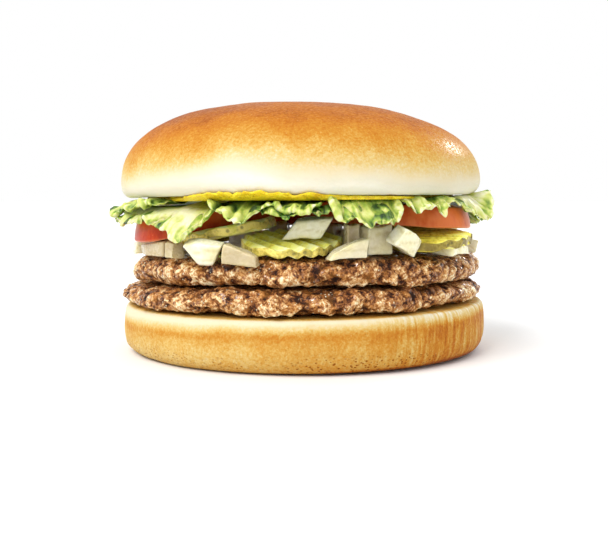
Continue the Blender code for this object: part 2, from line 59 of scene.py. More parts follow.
# How much brighter than its own colour an open surface looks under this scene's lamps, and the
# most light that any finish gives back.
OPEN_LIGHT = 1.44
WHITEST = 0.96

# Points closer than WELD are one point. Triangles that meet at less than FLAT_ANGLE are joined
# into four-sided faces before they are rounded, and edges bent by more than CRISP_ANGLE can be
# kept crisp. Both angles are in radians.
WELD = 0.002 * MM
FLAT_ANGLE = 1.2
CRISP_ANGLE = 0.6


def seen(red, green, blue, light=OPEN_LIGHT):
    """The colour of a surface that looks like this on a screen, from 0 to 255, when it is lit."""
    shares = (share / 255 for share in (red, green, blue))
    # The curve that screens use, undone.
    linear = (s / 12.92 if s <= 0.04045 else ((s + 0.055) / 1.055) ** 2.4 for s in shares)
    return tuple(min(WHITEST, s / light) for s in linear) + (1.0,)


class Value:
    """A number that varies over a surface. Sums of such values add Math nodes to the finish."""

    def __init__(self, finish, socket):
        self.finish = finish
        self.socket = socket

    def maths(self, operation, *terms):
        """A Math node of that operation on these terms."""
        return self.finish.add("ShaderNodeMath", {"operation": operation}, dict(enumerate(terms)))

    def __add__(self, other):
        return self.maths("ADD", self, other)

    def __radd__(self, other):
        return self.maths("ADD", other, self)

    def __sub__(self, other):
        return self.maths("SUBTRACT", self, other)

    def __rsub__(self, other):
        return self.maths("SUBTRACT", other, self)

    def __mul__(self, other):
        return self.maths("MULTIPLY", self, other)

    def __rmul__(self, other):
        return self.maths("MULTIPLY", other, self)

    def rise(self, low, high):
        """0 below low and 1 above high, with a smooth step between them."""
        settings = {"interpolation_type": "SMOOTHSTEP"}
        return self.finish.add("ShaderNodeMapRange", settings, {0: self, 1: low, 2: high})


class Finish:
    """A procedural material, whose patterns are laid out in the frame's own metres.

    What is the same all over the surface is given by socket name, with _ for a space.
    """

    def __init__(self, name, roughness, **constants):
        self.material = bpy.data.materials.new(name)
        self.material.use_nodes = True
        self.tree = self.material.node_tree
        self.shader = self.tree.nodes["Principled BSDF"]
        self.shader.inputs["Roughness"].default_value = roughness
        for socket, value in constants.items():
            self.shader.inputs[socket.replace("_", " ")].default_value = value
        self.place = self.add("ShaderNodeTexCoord", {}, {}, "Object")
        split = {"Vector": self.place}
        self.x = self.add("ShaderNodeSeparateXYZ", {}, split, "X")
        self.y = self.add("ShaderNodeSeparateXYZ", {}, split, "Y")
        self.z = self.add("ShaderNodeSeparateXYZ", {}, split, "Z")

    def add(self, kind, settings, sockets, output=0):
        """A node with its settings made first, then its sockets set or linked, as a value."""
        node = self.tree.nodes.new(kind)
        for key, setting in settings.items():
            if key == "stops":
                ramp = node.color_ramp
                while len(ramp.elements) < len(setting):
                    ramp.elements.new(0.5)
                for element, (position, colour) in zip(ramp.elements, setting):
                    element.position = position
                    element.color = colour
            else:
                setattr(node, key, setting)
        for key, value in sockets.items():
            if isinstance(value, Value):
                self.tree.links.new(value.socket, node.inputs[key])
            else:
                node.inputs[key].default_value = value
        return Value(self, node.outputs[output])

    def laid(self, size, stretch=(1, 1, 1), shift=0.0, place=None):
        """Where a pattern with parts of that size in metres is read, stretched and shifted."""
        sized = tuple(share / size for share in stretch)
        moved = (shift, shift, -shift)
        sockets = {"Vector": place or self.place, "Scale": sized, "Location": moved}
        return self.add("ShaderNodeMapping", {}, sockets)

    def grain(self, size, detail=2.0, stretch=(1, 1, 1), shift=0.0, warp=0.0, place=None):
        """Soft noise of about 0 to 1, with lumps of that size in metres."""
        at = self.laid(size, stretch, shift, place)
        sockets = {"Vector": at, "Scale": 1.0, "Detail": detail, "Distortion": warp}
        return self.add("ShaderNodeTexNoise", {}, sockets, "Fac")

    def cells(self, size, shift=0.0, stretch=(1, 1, 1)):
        """The distance to the nearest of scattered points that are about that size apart."""
        sockets = {"Vector": self.laid(size, stretch, shift), "Scale": 1.0}
        return self.add("ShaderNodeTexVoronoi", {}, sockets, "Distance")

    def scatter(self, size):
        """A number from 0 to 1 for each of scattered grains of about that size."""
        sockets = {"Vector": self.laid(size), "Scale": 1.0}
        colour = self.add("ShaderNodeTexVoronoi", {}, sockets, "Color")
        return self.add("ShaderNodeSeparateColor", {}, {"Color": colour}, "Red")

    def marked(self, name):
        """A number that the mesh carries at each point."""
        return self.add("ShaderNodeAttribute", {"attribute_name": name}, {}, "Fac")

    def ramp(self, value, stops):
        """Colours along a value from 0 to 1, as (place, colour) stops."""
        return self.add("ShaderNodeValToRGB", {"stops": stops}, {"Fac": value}, "Color")

    def blend(self, share, first, second):
        """The first colour going over to the second as the share goes from 0 to 1."""
        sockets = {0: share, 6: first, 7: second}
        return self.add("ShaderNodeMix", {"data_type": "RGBA"}, sockets, 2)

    def dress(self, colour=None, roughness=None, coat=None, relief=None, depth=0.0):
        """Links what varies to the shader. depth is how high the relief stands, in metres."""
        varying = {"Base Color": colour, "Roughness": roughness, "Coat Weight": coat}
        for socket, value in varying.items():
            if value is not None:
                self.tree.links.new(value.socket, self.shader.inputs[socket])
        if relief is not None:
            sockets = {"Height": relief, "Distance": depth, "Strength": 1.0}
            bump = self.add("ShaderNodeBump", {}, sockets)
            self.tree.links.new(bump.socket, self.shader.inputs["Normal"])
        return self.material


def smooth_copy(node, levels, sharpness=0.0):
    """A new piece with a node's form, rounded smoothly, with its crisp edges kept by a share."""
    form = bmesh.new()
    form.from_mesh(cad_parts[node].data)
    bmesh.ops.remove_doubles(form, verts=form.verts[:], dist=WELD)
    bmesh.ops.join_triangles(
        form,
        faces=form.faces[:],
        angle_face_threshold=FLAT_ANGLE,
        angle_shape_threshold=FLAT_ANGLE,
    )
    if sharpness:
        crease = form.edges.layers.float.new("crease_edge")
        for edge in form.edges:
            if len(edge.link_faces) == 2 and edge.calc_face_angle() > CRISP_ANGLE:
                edge[crease] = sharpness
    mesh = bpy.data.meshes.new(node)
    form.to_mesh(mesh)
    form.free()
    rough = bpy.data.objects.new(f"{node}_form", mesh)
    bpy.context.scene.collection.objects.link(rough)
    rounding = rough.modifiers.new("rounding", "SUBSURF")
    rounding.levels = levels
    shown = rough.evaluated_get(bpy.context.evaluated_depsgraph_get())
    made = bpy.data.meshes.new_from_object(shown)
    bpy.data.objects.remove(rough)
    made.shade_smooth()
    made.materials.clear()
    piece = bpy.data.objects.new(f"{node}_food", made)
    bpy.context.scene.collection.objects.link(piece)
    return piece


def points_of(piece):
    """The points of a piece, as rows of x, y and z in metres."""
    flat = np.empty(3 * len(piece.data.vertices), np.float32)
    piece.data.vertices.foreach_get("co", flat)
    return flat.reshape(-1, 3).astype(float)


def normals_of(piece):
    """The outward direction at each point of a piece."""
    flat = np.empty(3 * len(piece.data.vertices), np.float32)
    piece.data.vertex_normals.foreach_get("vector", flat)
    return flat.reshape(-1, 3).astype(float)


def move_points(piece, points):
    """Puts the points of a piece at these places."""
    piece.data.vertices.foreach_set("co", points.astype(np.float32).ravel())
    piece.data.update()


def mark(piece, name, values):
    """Gives each point of a piece a number that its finish can read."""
    layer = piece.data.attributes.new(name, "FLOAT", "POINT")
    layer.data.foreach_set("value", np.asarray(values, np.float32))


def lumps(points, size, seed):
    """Smooth noise of about -1 to 1 at each point, with lumps of that size in metres."""
    at = points / size + seed
    return np.array([noise.noise(p) for p in at.tolist()])


def step(low, high, values):
    """0 at low and 1 at high, with a smooth step between them. low may be the greater one."""
    share = np.clip((values - low) / (high - low), 0, 1)
    return share * share * (3 - 2 * share)


def serve(piece, node, finish):
    """Finishes a piece: its material, the node it stands for and the slot it is painted from."""
    piece.data.materials.append(finish)
    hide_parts(node)
    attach(piece, "root")


# How the crust looks from unbaked to well browned. The palest stop is brightened with painted
# light, for the crown's low skirt at the right, which lies in shade.
CRUST_STOPS = [
    (0.0, seen(255, 250, 233, 1.22)),
    (0.07, seen(252, 244, 216)),
    (0.14, seen(251, 236, 196)),
    (0.3, seen(243, 212, 138)),
    (0.46, seen(233, 184, 94)),
    (0.62, seen(222, 154, 58)),
    (0.8, seen(208, 126, 40)),
    (1.0, seen(170, 90, 30)),
]

# The pores are thickest round PORE_MIDDLE, from left to right. Out to PORE_NEAR from it they are
# as thick, and past PORE_FAR they lie in patches alone.
PORE_MIDDLE = 16 * MM
PORE_NEAR = 10 * MM
PORE_FAR = 30 * MM


def bread_finish(name, roughness, shine, pore_top, pleated):
    """Baked bread: its colour by how far it is baked, in fine mottles, with a faint sheen.

    shine is how much it mirrors, pore_top is the height under which the crust is pitted, and
    pleated is how strongly its right side is drawn into upright pleats. The mesh's mark "bake"
    goes from 0, unbaked, to 1, well browned, and "glaze" is 1 where the crust is glossy.
    """
    bread = Finish(
        name, roughness, Subsurface_Weight=0.1, Subsurface_Radius=(1.0, 0.55, 0.25),
        Subsurface_Scale=1.8 * MM, Specular_IOR_Level=shine, Coat_Roughness=0.24,
    )
    bake = bread.marked("bake")
    gold = bake.rise(0.06, 0.42)
    patches = bread.grain(8 * MM, 3.0)
    fine = bread.grain(1.0 * MM, 3.0)
    dots = bread.grain(0.5 * MM, 1.0, shift=3.0)
    baked = bake + (patches - 0.5) * 0.3 * gold + ((fine - 0.5) * 0.38 + (dots - 0.5) * 0.3) * gold

    around = bread.x.maths("ARCTAN2", bread.y, bread.x) * BUN_RADIUS
    upright = bread.add("ShaderNodeCombineXYZ", {}, {0: around, 1: bread.z * 0.1, 2: 0.0})
    pleats = bread.grain(1.5 * MM, 2.0, place=upright)
    right = (bread.x - bread.y * 0.25).rise(0.45 * BUN_RADIUS, 0.85 * BUN_RADIUS)
    baked = baked + (pleats - 0.5) * right * (1.1 * pleated)
    colour = bread.ramp(baked, CRUST_STOPS)

    # Pores lie in patches near the base, and all over it right of the middle.
    low = 1.0 - bread.z.rise(0.35 * pore_top, pore_top)
    off = bread.x - PORE_MIDDLE
    near = 1.0 - (off * off).rise(PORE_NEAR**2, PORE_FAR**2)
    pored = bread.grain(9 * MM, 2.0, shift=7.0).rise(0.28, 0.5) + near
    pores = (1.0 - bread.cells(1.25 * MM, stretch=(1, 1, 1.5)).rise(0.16, 0.4)) * low * pored
    colour = bread.blend(pores * 0.8, colour, seen(166, 94, 24))

    pinpricks = 1.0 - bread.cells(2.9 * MM, shift=5.0).rise(0.03, 0.085)
    colour = bread.blend(pinpricks * gold * 0.45, colour, seen(160, 96, 38))
    light = 1.0 - bread.cells(1.9 * MM, shift=9.0).rise(0.06, 0.2)
    colour = bread.blend(light * gold * 0.22, colour, seen(255, 226, 150))
    gloss = roughness - (patches - 0.5) * 0.25 + (fine - 0.5) * 0.5
    skin = fine * 0.55 + dots * 0.3 + bread.grain(3.2 * MM, 3.0) * 0.5
    glaze = bread.marked("glaze") * bread.grain(0.9 * MM, 2.0, shift=4.0).rise(0.4, 0.6)
    return bread.dress(colour, gloss, glaze, skin - pores * 0.3, 0.2 * MM)


# The height on the heel's side at which its pale rim starts, and how far the side is baked by the
# height over that line in mm. The darkest stop, along the very base, is painted contact shadow.
PALE_RIM = 13.8 * MM
SIDE_BAKE = [
    (-13.6, 0.98), (-12.6, 0.58), (-9, 0.48), (-5, 0.52), (-1.6, 0.64), (0.6, 0.3), (2.4, 0.12),
]

heel = smooth_copy("heel", 3)
spots = points_of(heel)
reach = np.hypot(spots[:, 0], spots[:, 1])

# The side is dented all round, and drawn into upright pleats at its right.
side = step(0.9 * BUN_RADIUS, 0.985 * BUN_RADIUS, reach)
around = np.arctan2(spots[:, 1], spots[:, 0])
wrinkled = side * step(0.1, 0.7, np.cos(around + 0.55)) * step(2 * MM, 7 * MM, spots[:, 2])
pleats = lumps(np.c_[around * 0.04, around * 0.0, spots[:, 2] * 0.12], 1.5 * MM, 3.0)
dents = 0.45 * lumps(spots, 14 * MM, 5.0) + 0.16 * lumps(spots, 5 * MM, 9.0)
push = MM * (side * dents + 0.17 * wrinkled * pleats)

# The pale rim reaches lower at the left. The side is painted lighter at the left, as painted light
# where the lamp falls, and darker at the right, as painted shade. The cut face is toasted.
rim_line = PALE_RIM + 0.03 * spots[:, 0] + 0.5 * MM * lumps(spots, 9 * MM, 2.0)
above = (spots[:, 2] - rim_line) / MM
bake = np.interp(above, *zip(*SIDE_BAKE))
# Painted light on the left of the side, and painted shade on its right.
darker = 0.13 * step(5 * MM, 52 * MM, spots[:, 0]) - 0.1 * step(0, -35 * MM, spots[:, 0])
bake += darker * step(0, -3, above)
cut_face = step(1.2 * MM, 2.6 * MM, BUN_RADIUS - reach)
cut_face *= step(HEEL_TOP - 3 * MM, HEEL_TOP - 1.6 * MM, spots[:, 2])
mark(heel, "bake", bake + (0.48 - bake) * cut_face)
spots[:, :2] += (spots[:, :2] / np.maximum(reach, MM)[:, None]) * push[:, None]
move_points(heel, spots)
serve(heel, "heel", bread_finish("heel_crust", 0.55, 0.05, 8 * MM, 1.0))


# Lower patty and upper patty. Thin rounds of ground beef pressed on a hot griddle: browned, loosely
# bound grains at the edge, wet with fat and juice, each patty slumped a little to the sides.

PATTY_RADIUS = 0.5 * (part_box("patty_upper")[1].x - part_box("patty_upper")[0].x)
BEEF_LIGHT = 0.86


def clumps(points, size, seed):
    """The distance to the nearest scattered point, in shares of the size, at each point."""
    at = points / size + seed
    return np.array([noise.voronoi(p)[0][0] for p in at.tolist()])


def hollow_of(piece, rounds):
    """How far each point lies under the average of those around it, in mm."""
    spots = points_of(piece)
    ends = np.empty(2 * len(piece.data.edges), np.int32)
    piece.data.edges.foreach_get("vertices", ends)
    first, second = ends.reshape(-1, 2).T
    count = len(spots)
    shared = np.bincount(first, minlength=count) + np.bincount(second, minlength=count)
    smooth = spots.copy()
    for _ in range(rounds):
        total = np.empty_like(smooth)
        for axis in range(3):
            total[:, axis] = np.bincount(first, smooth[second, axis], count)
            total[:, axis] += np.bincount(second, smooth[first, axis], count)
        smooth = total / np.maximum(shared, 1)[:, None]
    return ((smooth - spots) * normals_of(piece)).sum(axis=1) / MM


def beef_finish():
    """Seared beef: grains from dark crust to pale meat, pits darkened with painted shade, pale
    specks painted in as glints, and sharp glints where it is wet.
    """
    beef = Finish(
        "seared_beef", 0.5, Subsurface_Weight=0.05, Subsurface_Radius=(1.0, 0.4, 0.25),
        Subsurface_Scale=1.0 * MM, Coat_Roughness=0.07, Specular_IOR_Level=0.2,
    )
    pit = beef.marked("pit")
    crust = beef.marked("crust")
    patches = beef.grain(7 * MM, 3.0, warp=0.6)
    fine = beef.grain(0.8 * MM, 4.0, warp=1.0)
    threads = beef.grain(1.9 * MM, 4.0, shift=5.0, warp=1.6)
    grains = beef.scatter(1.3 * MM) - 0.5
    tone = 0.67 + (patches - 0.5) * 1.7 + (fine - 0.5) * 1.25 + (threads - 0.5) * 1.5
    # The pits are darkened with painted shade.
    tone = tone + grains * 0.26 - pit * 0.6 - crust * 0.3
    colour = beef.ramp(
        tone,
        [
            (0.0, seen(40, 18, 8, BEEF_LIGHT)),
            (0.2, seen(88, 46, 20, BEEF_LIGHT)),
            (0.4, seen(136, 84, 42, BEEF_LIGHT)),
            (0.58, seen(174, 120, 68, BEEF_LIGHT)),
            (0.76, seen(208, 164, 108, BEEF_LIGHT)),
            (1.0, seen(244, 218, 176, BEEF_LIGHT)),
        ],
    )
    golden = beef.grain(4.5 * MM, 3.0, shift=21.0).rise(0.5, 0.66)
    colour = beef.blend(golden * 0.25, colour, seen(198, 128, 48, BEEF_LIGHT))
    # Pale specks painted into the colour as glints, kept out of the pits.
    fat = beef.grain(5 * MM, 2.0, shift=13.0).rise(0.42, 0.6) * (1.0 - pit.rise(0.25, 0.6))
    fat = fat * (1.0 - beef.cells(1.15 * MM, shift=6.0, stretch=(1, 1, 0.7)).rise(0.1, 0.24))
    colour = beef.blend(fat * 0.75, colour, seen(252, 232, 202, BEEF_LIGHT))
    wet = beef.grain(1.3 * MM, 3.0, shift=17.0).rise(0.5, 0.57) * (1.0 - pit.rise(0.15, 0.4))
    relief = fine * 0.8 + threads * 0.9 - beef.cells(1.5 * MM, shift=2.0) * 0.5
    return beef.dress(colour, 0.58 - wet * 0.25, wet, relief, 0.75 * MM)


BEEF = beef_finish()


def crag(piece, seed):
    """Breaks up a patty's edge into loose grains of beef, with pits between them."""
    spots = points_of(piece)
    normals = normals_of(piece)
    reach = np.hypot(spots[:, 0], spots[:, 1])
    edge = step(0.82 * PATTY_RADIUS, 0.95 * PATTY_RADIUS, reach)
    broad = lumps(spots, 9 * MM, seed)
    grains = 0.55 - clumps(spots, 3.2 * MM, seed + 3)
    fine = 0.5 - clumps(spots, 1.7 * MM, seed + 8)
    torn = np.minimum(lumps(spots, 4.2 * MM, seed + 5) + 0.12, 0)
    stands = 0.6 * broad + 1.25 * grains + 0.7 * fine + 1.7 * torn
    low, high = (corner.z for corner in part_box(piece.name.replace("_food", "")))
    spots += normals * (MM * edge * stands)[:, None]
    move_points(piece, spots)
    # Where the edge is pitted, so that its finish can paint shade into the hollows.
    mark(piece, "pit", np.clip(0.35 + 1.5 * hollow_of(piece, 12), 0, 1) * edge)
    mark(piece, "crust", step(low + 0.5 * (high - low), high, spots[:, 2]))


for node, seed in (("patty_lower", 2.0), ("patty_upper", 31.0)):
    patty = smooth_copy(node, 3)
    crag(patty, seed)
    serve(patty, node, BEEF)


# Diced onion. Raw white onion cut into chunks of two or three layers: wet, cloudy and see-through
# at the edges, with fine lines where one layer meets the next.

ONION_LIGHT = 1.1
LAYER_THICK = 2.7 * MM

# The layers are shells round the onion's heart, which lies this far inwards and down from the
# middle of a chunk.
HEART_IN = 14 * MM
HEART_DOWN = 9 * MM

# How see-through each chunk is, with painted shade in the same number for the chunks that lie in
# shade under other pieces. The ones that aren't here are white.
CLEAR_ONIONS = {
    "onion_01": 1.0, "onion_02": 1.0, "onion_04": 0.95, "onion_06": 0.45, "onion_07": 1.0,
    "onion_08": 0.45, "onion_10": 0.5,
}


def onion_finish():
    """Raw onion: cloudy white, greyer and browner where it is see-through and as painted shade,
    yellower along its layers and its bends.
    """
    onion = Finish(
        "raw_onion", 0.24, Subsurface_Weight=0.85, Subsurface_Radius=(1.0, 0.95, 0.75),
        Subsurface_Scale=2.6 * MM, Coat_Roughness=0.08, Coat_Weight=0.15, Specular_IOR_Level=0.4,
    )
    clear = onion.marked("clear")
    bend = onion.marked("bend")
    layer = onion.marked("layer")
    cloud = onion.grain(6 * MM, 3.0)
    fine = onion.grain(1.3 * MM, 2.0)
    colour = onion.ramp(
        cloud * 0.8 + fine * 0.2,
        [
            (0.3, seen(238, 230, 180, ONION_LIGHT)),
            (0.5, seen(250, 244, 212, ONION_LIGHT)),
            (0.7, seen(255, 252, 236, ONION_LIGHT)),
        ],
    )
    colour = onion.blend(layer * 0.45, colour, seen(206, 192, 132, ONION_LIGHT))
    colour = onion.blend(bend * 0.3, colour, seen(238, 232, 170, ONION_LIGHT))
    # Greyer beige where a chunk is see-through, and as painted shade on the shaded chunks.
    colour = onion.blend(clear * (0.3 + cloud * 0.9), colour, seen(182, 160, 116, ONION_LIGHT))
    relief = cloud + fine * 0.2 - layer * 0.5
    return onion.dress(colour, 0.2 + fine * 0.15, relief=relief, depth=0.25 * MM)


ONION = onion_finish()

for node in sorted(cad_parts):
    if node.startswith("onion"):
        chunk = smooth_copy(node, 3, 0.68)
        spots = points_of(chunk)
        mark(chunk, "bend", np.clip(-2.2 * hollow_of(chunk, 6) - 0.1, 0, 1))
        seed = 0.37 * sum(map(ord, node))
        centre = spots.mean(axis=0)
        heart = centre * (1 - HEART_IN / np.hypot(centre[0], centre[1])) - (0, 0, HEART_DOWN)
        depth = np.linalg.norm(spots - heart, axis=1) + 0.3 * MM * lumps(spots, 5 * MM, seed)
        mark(chunk, "layer", step(0.72, 1.0, np.cos(2 * np.pi * depth / LAYER_THICK)))
        # This mark holds both how see-through a chunk is and its painted shade.
        mark(chunk, "clear", np.full(len(spots), CLEAR_ONIONS.get(node, 0.0)))
        swell = 0.42 * lumps(spots, 5 * MM, seed) + 0.12 * lumps(spots, 1.8 * MM, seed)
        spots += normals_of(chunk) * (MM * swell)[:, None]
        move_points(chunk, spots)
        serve(chunk, node, ONION)


# Pickles. Cucumber chips cut with a corrugated blade: a thin dark green skin round the edge, ridged
# yellow-green flesh on both faces, and brine that keeps them wet.

PICKLE_LIGHT = 0.72

# How much painted shade each slice has, as a deeper, browner green, and under 0, how much painted
# light makes it lighter.
DEEP_PICKLES = {1: -0.1, 2: -0.7, 3: 0.45, 4: 0.4, 6: 0.3}


def disc_frame(spots):
    """Each point's reach in the plane of a disc and its height over that plane."""
    centre = spots.mean(axis=0)
    _, _, axes = np.linalg.svd(spots - centre, full_matrices=False)
    across = (spots - centre) @ axes[:2].T
    up = axes[2] * np.sign(axes[2][2])
    return np.hypot(across[:, 0], across[:, 1]), (spots - centre) @ up


def pickle_finish():
    """Pickled cucumber: cloudy flesh, painted lighter on its ridges and darker in its grooves as
    painted light and shade, a darker skin with warts, and painted light and shade slice by slice.
    """
    pickle = Finish(
        "brined_cucumber", 0.26, Subsurface_Weight=0.45, Subsurface_Radius=(1.0, 0.9, 0.25),
        Subsurface_Scale=1.6 * MM, Coat_Weight=0.12, Coat_Roughness=0.1, Specular_IOR_Level=0.25,
    )
    skin = pickle.marked("skin")
    ridge = pickle.marked("ridge")
    deep = pickle.marked("deep")
    cloud = pickle.grain(4 * MM, 3.0, warp=0.5)
    fine = pickle.grain(1.0 * MM, 3.0)
    # Painted shade darkens the slices that lie in shade, and painted light lightens some others.
    tone = 0.56 + (cloud - 0.5) * 1.1 + (fine - 0.5) * 0.5 + ridge * 0.36 - deep * 0.34
    colour = pickle.ramp(
        tone,
        [
            (0.0, seen(112, 104, 32, PICKLE_LIGHT)),
            (0.3, seen(160, 146, 50, PICKLE_LIGHT)),
            (0.5, seen(196, 182, 66, PICKLE_LIGHT)),
            (0.72, seen(222, 212, 96, PICKLE_LIGHT)),
            (1.0, seen(242, 236, 150, PICKLE_LIGHT)),
        ],
    )
    rind = (skin + (cloud - 0.5) * 0.5).rise(0.45, 0.75)
    dark = pickle.ramp(
        cloud + (fine - 0.5) * 0.6 - deep * 0.25,
        [
            (0.32, seen(112, 98, 34, PICKLE_LIGHT)),
            (0.5, seen(164, 146, 58, PICKLE_LIGHT)),
            (0.68, seen(208, 188, 94, PICKLE_LIGHT)),
        ],
    )
    colour = pickle.blend(rind * 0.9, colour, dark)
    # A browner rind as painted shade on the shaded slices.
    colour = pickle.blend(rind * deep, colour, seen(92, 74, 30, PICKLE_LIGHT))
    warts = (1.0 - pickle.cells(2.6 * MM, shift=3.0).rise(0.12, 0.3)) * rind
    colour = pickle.blend(warts * 0.6, colour, seen(56, 58, 30, PICKLE_LIGHT))
    relief = cloud * 0.6 + fine - warts * 0.4
    return pickle.dress(colour, 0.2 + fine * 0.2, relief=relief, depth=0.25 * MM)


PICKLE = pickle_finish()

for k in range(1, 7):
    chip = smooth_copy(f"pickle_{k}", 3, 0.5)
    spots = points_of(chip)
    reach, _ = disc_frame(spots)
    mark(chip, "skin", step(0.92, 0.985, reach / reach.max()))
    # Painted light on the crests of the ridges, and painted shade in their grooves.
    mark(chip, "ridge", np.clip(-3.0 * hollow_of(chip, 14), -1, 1))
    # Each slice's painted light and shade.
    mark(chip, "deep", np.full(len(spots), DEEP_PICKLES.get(k, 0.0)))
    uneven = 0.22 * lumps(spots, 4 * MM, 3.0 * k) + 0.12 * lumps(spots, 1.6 * MM, 3.0 * k)
    spots += normals_of(chip) * (MM * uneven)[:, None]
    move_points(chip, spots)
    serve(chip, f"pickle_{k}", PICKLE)


# Tomato. Thick slices of a ripe tomato: a thin glossy orange-red skin round the rim and wet, paler
# flesh on the cut faces, drooping where nothing holds them up.

TOMATO_LIGHT = 1.02

# How far a slice sags over the pieces under it, in mm, and whether its front or its back does.
DROOPS = {1: (1.3, -1), 3: (1.9, 1)}


def tomato_finish():
    """Tomato: streaked skin round the rim, cloudy flesh, and a painted highlight along the foot."""
    tomato = Finish(
        "ripe_tomato", 0.28, Subsurface_Weight=0.2, Subsurface_Radius=(1.0, 0.3, 0.12),
        Subsurface_Scale=1.5 * MM, Coat_Weight=0.05, Coat_Roughness=0.08, Specular_IOR_Level=0.18,
    )
    rim = tomato.marked("rim")
    foot = tomato.marked("foot")
    cloud = tomato.grain(6 * MM, 3.0)
    streaks = tomato.grain(2.4 * MM, 3.0, stretch=(1, 1, 0.3), shift=4.0)
    fine = tomato.grain(0.8 * MM, 2.0)
    flesh = tomato.ramp(
        cloud, [(0.3, seen(196, 72, 24, TOMATO_LIGHT)), (0.7, seen(222, 118, 60, TOMATO_LIGHT))]
    )
    # Towards the left the skin is painted darker, against the lamp that lights it there, and
    # towards the right lighter, as painted light where it lies in shade.
    skin = tomato.ramp(
        0.54 + (cloud - 0.5) * 0.9 + (streaks - 0.5) * 0.9 + tomato.x * 6.0,
        [
            (0.2, seen(172, 50, 12, TOMATO_LIGHT)),
            (0.5, seen(196, 80, 26, TOMATO_LIGHT)),
            (0.85, seen(216, 114, 56, TOMATO_LIGHT)),
        ],
    )
    colour = tomato.blend(rim, flesh, skin)
    # A painted highlight along the lower edge of the skin.
    colour = tomato.blend(foot * 0.75, colour, seen(226, 146, 96, TOMATO_LIGHT))
    specks = 1.0 - tomato.cells(2.0 * MM).rise(0.03, 0.12)
    colour = tomato.blend(specks * 0.35, colour, seen(234, 150, 100, TOMATO_LIGHT))
    return tomato.dress(colour, 0.26 + cloud * 0.15, relief=cloud + fine * 0.3, depth=0.22 * MM)


TOMATO = tomato_finish()

for k in range(1, 4):
    slab = smooth_copy(f"tomato_{k}", 3, 0.55)
    spots = points_of(slab)
    reach, height = disc_frame(spots)
    out = step(0.93, 0.975, reach / reach.max())
    mark(slab, "rim", out)
    # Where the painted highlight along the lower edge goes.
    mark(slab, "foot", out * step(-2.3 * MM, -3.1 * MM, height))
    spots += normals_of(slab) * (0.3 * MM * lumps(spots, 9 * MM, 5.0 * k))[:, None]
    sag, end = DROOPS.get(k, (0.0, 1))
    spots[:, 2] -= sag * MM * step(14 * MM, 38 * MM, end * spots[:, 1])
    move_points(slab, spots)
    serve(slab, f"tomato_{k}", TOMATO)


# Lettuce. Crisp pale leaves torn to size: a thin wet sheet, nearly white towards the rib, with a
# bright yellow-green frilled rim and fine branching veins.

LETTUCE_LIGHT = 1.3

# The reach from the bun's axis at which the leaves come out from under the crown, and a length
# that only the short edges between a leaf's two faces stay under.
COMES_OUT = 0.86 * BUN_RADIUS
RIM_EDGE = 0.9 * MM

# How green each leaf's middle is. The ones that aren't here are as pale as a heart leaf.
GREEN_LEAVES = {
    "lettuce_middle": 0.75, "lettuce_front": 0.42, "lettuce_front_right": 0.32,
    "lettuce_right_frill": 0.25, "lettuce_far_left": 0.2,
    "lettuce_back": 0.45, "lettuce_back_left": 0.2, "lettuce_back_right": 0.3,
}

# How much higher a leaf lies than its solid where it leaves the crown, and how much lower its rim
# hangs than that, in mm.
LEAF_SHIFTS = {
    "lettuce_far_left": (2.0, 1.8), "lettuce_right_frill": (2.4, 1.4), "lettuce_right": (2.4, 1.0),
    "lettuce_front_right": (1.9, 1.4), "lettuce_middle": (0.8, 0.8), "lettuce_left": (0.8, 0.4),
    "lettuce_back": (0, 3.0), "lettuce_back_left": (0, 2.5), "lettuce_back_right": (0, 2.5),
}


def lettuce_finish():
    """Lettuce: greener in its frill, darker green as painted shade in its hollows and under the
    crown, with thin painted crease shadows, pale on its veins, and a painted highlight on its edge.
    """
    lettuce = Finish(
        "crisp_lettuce", 0.36, Subsurface_Weight=0.5, Subsurface_Radius=(0.7, 1.0, 0.25),
        Subsurface_Scale=1.5 * MM, Specular_IOR_Level=0.3,
    )
    frill = lettuce.marked("frill")
    edge = lettuce.marked("edge")
    hollow = lettuce.marked("hollow")
    vein = lettuce.marked("vein")
    crease = lettuce.marked("crease")
    green = lettuce.marked("green")
    cloud = lettuce.grain(8 * MM, 3.0)
    fine = lettuce.grain(1.1 * MM, 3.0)
    tone = green * (1.0 - frill * 0.35) + frill * 0.26 + (cloud - 0.5) * 0.8 + (fine - 0.5) * 0.4
    # Painted shade in the hollows, under the crown and along the creases, and a painted highlight
    # at the very edge.
    tone = 0.1 + tone + hollow * 0.44 + crease * 0.3 - vein * 0.14 - edge * 0.42
    colour = lettuce.ramp(
        tone,
        [
            (0.0, seen(247, 247, 206, LETTUCE_LIGHT)),
            (0.2, seen(238, 240, 170, LETTUCE_LIGHT)),
            (0.4, seen(218, 226, 122, LETTUCE_LIGHT)),
            (0.6, seen(172, 194, 84, LETTUCE_LIGHT)),
            (0.8, seen(110, 144, 58, LETTUCE_LIGHT)),
            (1.0, seen(44, 72, 34, LETTUCE_LIGHT)),
        ],
    )
    return lettuce.dress(colour, 0.3 + fine * 0.2, relief=fine * 0.35 + vein * 0.6, depth=0.3 * MM)


LETTUCE = lettuce_finish()


def rim_tree(node):
    """A tree of the points along a leaf's outer edge, where its two faces meet."""
    mesh = bmesh.new()
    mesh.from_mesh(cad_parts[node].data)
    bmesh.ops.remove_doubles(mesh, verts=mesh.verts[:], dist=WELD)
    rim = set()
    for edge in mesh.edges:
        if edge.calc_length() < RIM_EDGE:
            for end in edge.verts:
                if end.co.xy.length > COMES_OUT:
                    rim.add(tuple(end.co))
    mesh.free()
    points = sorted(rim)
    tree = KDTree(len(points))
    for index, point in enumerate(points):
        tree.insert(point, index)
    tree.balance()
    return tree


